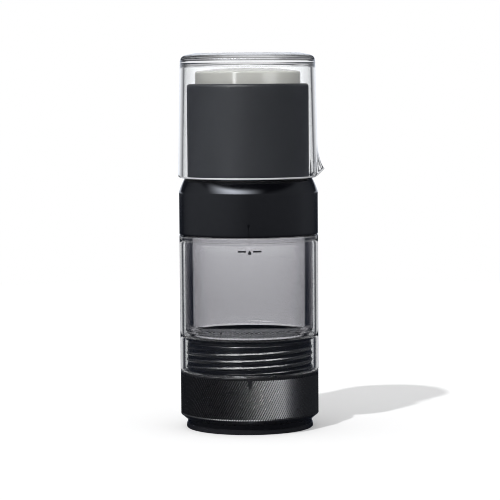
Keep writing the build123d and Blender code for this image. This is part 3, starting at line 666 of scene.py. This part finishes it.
def addPrint(name, across, height, radius, level, body):
    # a patch of ink: its flat points (across, height) are wrapped round a piece at the front
    rows, columns = across.shape
    angle = front + across / radius
    r = radius + mark["lift"]
    points = np.stack([r * np.cos(angle), r * np.sin(angle), level + height], -1).reshape(-1, 3)
    i, j = np.meshgrid(np.arange(rows - 1), np.arange(columns - 1), indexing="ij")
    corner = i * columns + j
    faces = np.stack([corner, corner + 1, corner + columns + 1, corner + columns], -1)
    mesh = bpy.data.meshes.new(name)
    mesh.from_pydata((points * mm).tolist(), [], faces.reshape(-1, 4).tolist())
    mesh.materials.append(ink)
    piece = bpy.data.objects.new(name, mesh)
    scene.collection.objects.link(piece)
    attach(piece, body)
    print("piece:", name, len(mesh.polygons), "faces")


s, t = np.meshgrid(np.linspace(0, 1, 9), np.linspace(-0.5, 0.5, 3))
for name, sign in (("fillDashLeft", -1), ("fillDashRight", 1)):
    dash = sign * (mark["dashFrom"] + (mark["dashTo"] - mark["dashFrom"]) * s) + mark["offset"]
    addPrint(name, dash[:, ::sign], mark["dashHeight"] * t, vesselR, mark["level"], "chamber")
# the drop's half width is sin t times sin(t / 2) squared, pointed at the top where t is 0
s, t = np.meshgrid(np.linspace(-1, 1, 13), np.linspace(np.pi, 0, 25))
addPrint("fillDrop", mark["offset"] + mark["dropWidth"] * s * np.sin(t) * np.sin(t / 2) ** 2,
         mark["dropLevel"] + mark["dropHeight"] / 2 * np.cos(t), vesselR, mark["level"], "chamber")
# the index mark narrows by the square root of its height above the point
s, t = np.meshgrid(np.linspace(-1, 1, 9), np.linspace(0, 1, 17))
addPrint("gripIndex", mark["indexWidth"] * s * np.sqrt(t), mark["indexHeight"] * (t - 1), gripR,
         gripTop - mark["indexTop"], "base")

# Finishes for the CAD nodes that keep their own shape
for subpart in frame["record"]["subparts"]:
    mesh = frame["nodes"][subpart["node"]].data
    mesh.materials.clear()
    mesh.materials.append(finishes[subpart["material_slot"]])
print("nodes dressed")

# Clear pieces cast no shadow, so that lamps reach what is inside them
for piece in (carafePiece, shellPiece, vesselPiece):
    piece.visible_shadow = False

# Camera, at the photograph's angle
view = {"distance": 1.295, "pitch": 4.35, "roll": -0.40, "aimX": 0.00067, "aimZ": 0.0992,
        "lens": 166.4, "sensor": 36.0, "farthest": 100.0}
tilt = np.radians(view["pitch"])
cameraData = bpy.data.cameras.new("camera")
cameraData.lens = view["lens"]
cameraData.sensor_width = view["sensor"]
cameraData.clip_end = view["farthest"]
camera = bpy.data.objects.new("camera", cameraData)
camera.location = (view["aimX"], -view["distance"] * np.cos(tilt),
                   view["aimZ"] + view["distance"] * np.sin(tilt))
camera.rotation_mode = "ZYX"
camera.rotation_euler = (np.pi / 2 - tilt, 0, np.radians(view["roll"]))
scene.collection.objects.link(camera)
scene.camera = camera
scene.view_settings.view_transform = "Standard"

# Floor: a round sheet of white paper that fades into the white backdrop
floor = {"innerR": 0.001, "radius": 0.62, "centreY": 0.30, "rings": 24, "around": 96,
         "white": "#F4F4F4", "glow": 0.22}
far = np.linspace(floor["innerR"], floor["radius"], floor["rings"])[:, None]
turn = np.linspace(0, 2 * np.pi, floor["around"], endpoint=False)[None]
x, y = far * np.cos(turn), floor["centreY"] + far * np.sin(turn)
points = np.stack([x, y, np.zeros_like(x)], -1).reshape(-1, 3)
i, j = np.meshgrid(np.arange(floor["rings"] - 1), np.arange(floor["around"]), indexing="ij")
near, beyond, after = i * floor["around"], (i + 1) * floor["around"], (j + 1) % floor["around"]
faces = np.stack([near + j, beyond + j, beyond + after, near + after], -1).reshape(-1, 4)
sheet = bpy.data.meshes.new("floorSheet")
sheet.from_pydata(points.tolist(), [], faces.tolist())
floorPiece = bpy.data.objects.new("floorSheet", sheet)
scene.collection.objects.link(floorPiece)
paper = startMaterial("whitePaper", {
    "Base Color": linear(floor["white"]), "Roughness": 0.9, "Specular IOR Level": 0.0,
    "Emission Color": (1, 1, 1, 1), "Emission Strength": floor["glow"]})[0]
sheet.materials.append(paper)
floorPiece.visible_glossy = False
floorPiece.visible_transmission = False

# Studio light: a tall strip left of the camera gives the tamper and the basket narrow highlights, two
# softboxes rake the knurl, a wide one overhead draws the thread lines, a small one fills the tamper's
# right side, and a hard key lamp throws the shadow
lamps = {
    "strip": {"azimuth": -28.0, "away": 1.10, "foot": 0.12, "size": (0.09, 0.50), "power": 4.0},
    "left": {"azimuth": -74.0, "away": 0.90, "foot": 0.42, "size": (1.00, 0.46), "power": 26.0},
    "right": {"azimuth": -25.0, "away": 0.90, "foot": 0.42, "size": (0.70, 0.46), "power": 15.0},
    "overhead": {"azimuth": 0.0, "away": 0.60, "foot": 0.50, "size": (2.0, 1.2), "power": 300.0},
    "fill": {"azimuth": 50.0, "away": 0.80, "foot": 0.15, "size": (0.50, 0.30), "power": 2.5},
    "key": {"azimuth": -33.7, "height": 50.0, "angle": 1.4, "strength": 1.5},
}


def addSoftbox(name, lit, tip=0.0, through=False, diffuse=False):
    # a rectangular lamp that faces the axis from its azimuth, tipped down by an angle, and lights
    # only the given pieces; one that shines through clear plastic is sampled as a lamp alone
    lamp = lamps[name]
    light = bpy.data.lights.new(name, "AREA")
    light.shape = "RECTANGLE"
    light.size, light.size_y = lamp["size"]
    light.energy = lamp["power"]
    light.cycles.use_multiple_importance_sampling = not through
    box = bpy.data.objects.new(name, light)
    turn = np.radians(lamp["azimuth"])
    box.location = (lamp["away"] * np.sin(turn), -lamp["away"] * np.cos(turn),
                    lamp["foot"] + light.size_y / 2)
    box.rotation_euler = (np.pi / 2 - np.radians(tip), 0, turn)
    box.visible_camera = False
    box.visible_diffuse = diffuse
    box.visible_transmission = False
    receivers = bpy.data.collections.new(name + "Lit")
    for piece in lit:
        receivers.objects.link(piece)
    box.light_linking.receiver_collection = receivers
    scene.collection.objects.link(box)


addSoftbox("strip", (frame["nodes"]["tamper_cap"], basketPiece))
for side in ("left", "right"):
    addSoftbox(side, (gripPiece,))
addSoftbox("overhead", (basketPiece,), tip=90.0, through=True)
addSoftbox("fill", (frame["nodes"]["tamper_cap"],), through=True, diffuse=True)
key = bpy.data.lights.new("keyLamp", "SUN")
key.angle = np.radians(lamps["key"]["angle"])
key.energy = lamps["key"]["strength"]
keyLamp = bpy.data.objects.new("keyLamp", key)
keyLamp.rotation_euler = (np.pi / 2 - np.radians(lamps["key"]["height"]), 0,
                          np.radians(lamps["key"]["azimuth"]))
keyLamp.visible_transmission = False
scene.collection.objects.link(keyLamp)
keyUnlit = bpy.data.collections.new("keyUnlit")
keyUnlit.objects.link(collarPiece)
keyLamp.light_linking.receiver_collection = keyUnlit
keyUnlit.collection_objects[0].light_linking.link_state = "EXCLUDE"

# Surroundings. The camera sees white. Sight straight through clear plastic meets a white sweep that
# darkens towards the table. Light turned inside the plastic meets a white panel behind the part, dark
# blue-grey walls, the pale table, a pale upper wall and the softbox. Reflections meet a panel that is
# wide just above the table and narrow elsewhere, the softbox high on the left, the grey room,
# brighter on that side, and a small ceiling lamp.
# A range turns what it reads, between its first two numbers, into a light between its last two.
room = {
    "walls": (0.010, 0.013, 0.022), "cool": (0.84, 0.89, 1.0), "soft": 0.55,
    "azimuths": {"softboxSide": -30.0, "leftSide": -55.0, "rightSide": 40.0},
    "ranges": {
        "rise": {"panelStep": (-0.066, -0.052, 0.0, 1.0), "ceiling": (0.88, 0.95, 0.0, 1.0),
                 "sweepLow": (-0.104, -0.0845, 0.88, 1.05), "sweepHigh": (-0.0845, -0.074, 0.0, 0.35),
                 "sweepTop": (-0.066, -0.052, 1.0, 0.93), "table": (-0.34, -0.20, 0.7, 0.0),
                 "upper": (0.20, 0.45, 0.0, 0.45), "upperTop": (0.62, 0.72, 1.0, 0.0),
                 "softboxFoot": (0.40, 0.57, 0.0, 13.5), "softboxTop": (0.58, 0.64, 1.0, 0.0),
                 "greyFoot": (-0.090, -0.074, 0.12, 1.0), "greyTop": (0.48, 0.56, 1.0, 0.0),
                 "mirrorStep": (-0.046, -0.040, 0.0, 1.0), "mirrorTop": (0.06, 0.10, 1.0, 0.0)},
        "aside": {"highPanel": (0.18, 0.78, 1.0, 0.0), "lowPanel": (0.30, 0.52, 1.0, 0.0),
                  "narrowMirror": (0.08, 0.16, 1.0, 0.0), "wideMirror": (0.30, 0.95, 1.0, 0.0)},
        "ahead": {"behind": (0.0, 0.01, 0.0, 1.0)},
        "softboxSide": {"across": (0.26, 1.0, 0.0, 1.0)},
        "leftSide": {"greyLeft": (0.05, 1.0, 0.0, 0.56)},
        "rightSide": {"greyRight": (-0.30, 0.45, 0.02, 0.30)},
        "passes": {"deep": (2.4, 2.6, 0.0, 1.0)},
        "bounces": {"straight": (0.0, 1.0, 1.0, 0.0)},
    },
}
world = bpy.data.worlds.new("studio")
scene.world = world
world.use_nodes = True
world.cycles.sampling_method = "NONE"
tree = world.node_tree
tree.nodes.clear()
ray = addNode(tree, "LightPath").outputs
sight = addNode(tree, "TexCoord").outputs["Generated"]
axes = addNode(tree, "SeparateXYZ", feeds={0: sight}).outputs
flat = addNode(tree, "VectorMath", {1: (1, 1, 0)}, {0: sight}, operation="MULTIPLY").outputs[0]
level = addNode(tree, "VectorMath", feeds={0: flat}, operation="NORMALIZE").outputs[0]
sideways = addNode(tree, "Math", feeds={0: axes["X"]}, operation="ABSOLUTE").outputs[0]
aside = addNode(tree, "Math", feeds={0: sideways, 1: axes["Y"]}, operation="DIVIDE").outputs[0]
reads = {"rise": axes["Z"], "aside": aside, "ahead": axes["Y"],
         "passes": ray["Transmission Depth"], "bounces": ray["Glossy Depth"]}
# the cosine of the angle round Z between the sight and a side: 1 straight at it, -1 away from it
for name, azimuth in room["azimuths"].items():
    side = {1: (np.sin(np.radians(azimuth)), -np.cos(np.radians(azimuth)), 0)}
    meets = addNode(tree, "VectorMath", side, {0: level}, operation="DOT_PRODUCT")
    reads[name] = meets.outputs["Value"]
light = {"camera": ray["Is Camera Ray"], "diffuse": ray["Is Diffuse Ray"],
         "through": ray["Is Transmission Ray"]}
for source, ranges in room["ranges"].items():
    for name, limits in ranges.items():
        fade = addNode(tree, "MapRange", dict(enumerate(limits, 1)), {0: reads[source]})
        light[name] = fade.outputs["Result"]
# each line names a light and works it out from those before it; a mix goes from its second to its
# third by its first
for name, operation, *parts in (
        ("panelShape", "MIX", "panelStep", "lowPanel", "highPanel"),
        ("panel", "MULTIPLY", "panelShape", "behind"),
        ("mirrorBand", "MULTIPLY", "mirrorStep", "mirrorTop"),
        ("mirrorShape", "MIX", "mirrorBand", "narrowMirror", "wideMirror"),
        ("mirror", "MULTIPLY", "mirrorShape", "behind"),
        ("softbox", "MULTIPLY", "softboxFoot", "softboxTop", "across", "across", "across", "across"),
        ("greyWalls", "MAXIMUM", "greyLeft", "greyRight"),
        ("grey", "MULTIPLY", "greyWalls", "greyFoot", "greyTop"),
        ("reflected", "MAXIMUM", "mirror", "softbox", "grey", "ceiling"),
        ("upperWall", "MULTIPLY", "upper", "upperTop", "behind"),
        ("deepSoftbox", "MULTIPLY", "softbox", "deep"),
        ("turned", "MAXIMUM", "panel", "deepSoftbox", "table", "upperWall"),
        ("sweepFoot", "ADD", "sweepLow", "sweepHigh"),
        ("sweep", "MULTIPLY", "sweepFoot", "sweepTop"),
        ("clear", "MIX", "straight", "turned", "sweep"),
        ("shine", "MIX", "through", "reflected", "clear"),
        ("plain", "MAXIMUM", "through", "camera", "diffuse")):
    value, *others = [light[part] for part in parts]
    if operation == "MIX":
        ends = {0: value, 2: others[0], 3: others[1]}
        value = addNode(tree, "Mix", feeds=ends, data_type="FLOAT").outputs[0]
    else:
        for other in others:
            both = {0: value, 1: other}
            value = addNode(tree, "Math", feeds=both, operation=operation).outputs[0]
    light[name] = value
ends = {0: light["diffuse"], 2: light["shine"]}
even = addNode(tree, "Mix", {3: room["soft"]}, ends, data_type="FLOAT").outputs[0]
glow = addNode(tree, "Math", feeds={0: even, 1: light["camera"]}, operation="MAXIMUM").outputs[0]
white = (1, 1, 1, 1)
tone = addNode(tree, "Mix", {6: (*room["walls"], 1), 7: white}, {0: glow}, data_type="RGBA",
               clamp_factor=False)
cool = addNode(tree, "Mix", {6: (*room["cool"], 1), 7: white}, {0: light["plain"]}, data_type="RGBA")
tinted = addNode(tree, "Mix", {0: 1.0}, {6: tone.outputs[2], 7: cool.outputs[2]},
                 data_type="RGBA", blend_type="MULTIPLY")
sky = addNode(tree, "Background", feeds={"Color": tinted.outputs[2]})
addNode(tree, "OutputWorld", feeds={"Surface": sky.outputs[0]})
scene.cycles.max_bounces = 64
scene.cycles.transmission_bounces = 28
scene.cycles.glossy_bounces = 48
scene.cycles.filter_width = 1.0
scene.cycles.caustics_reflective = False
scene.cycles.caustics_refractive = True
print("studio lit")
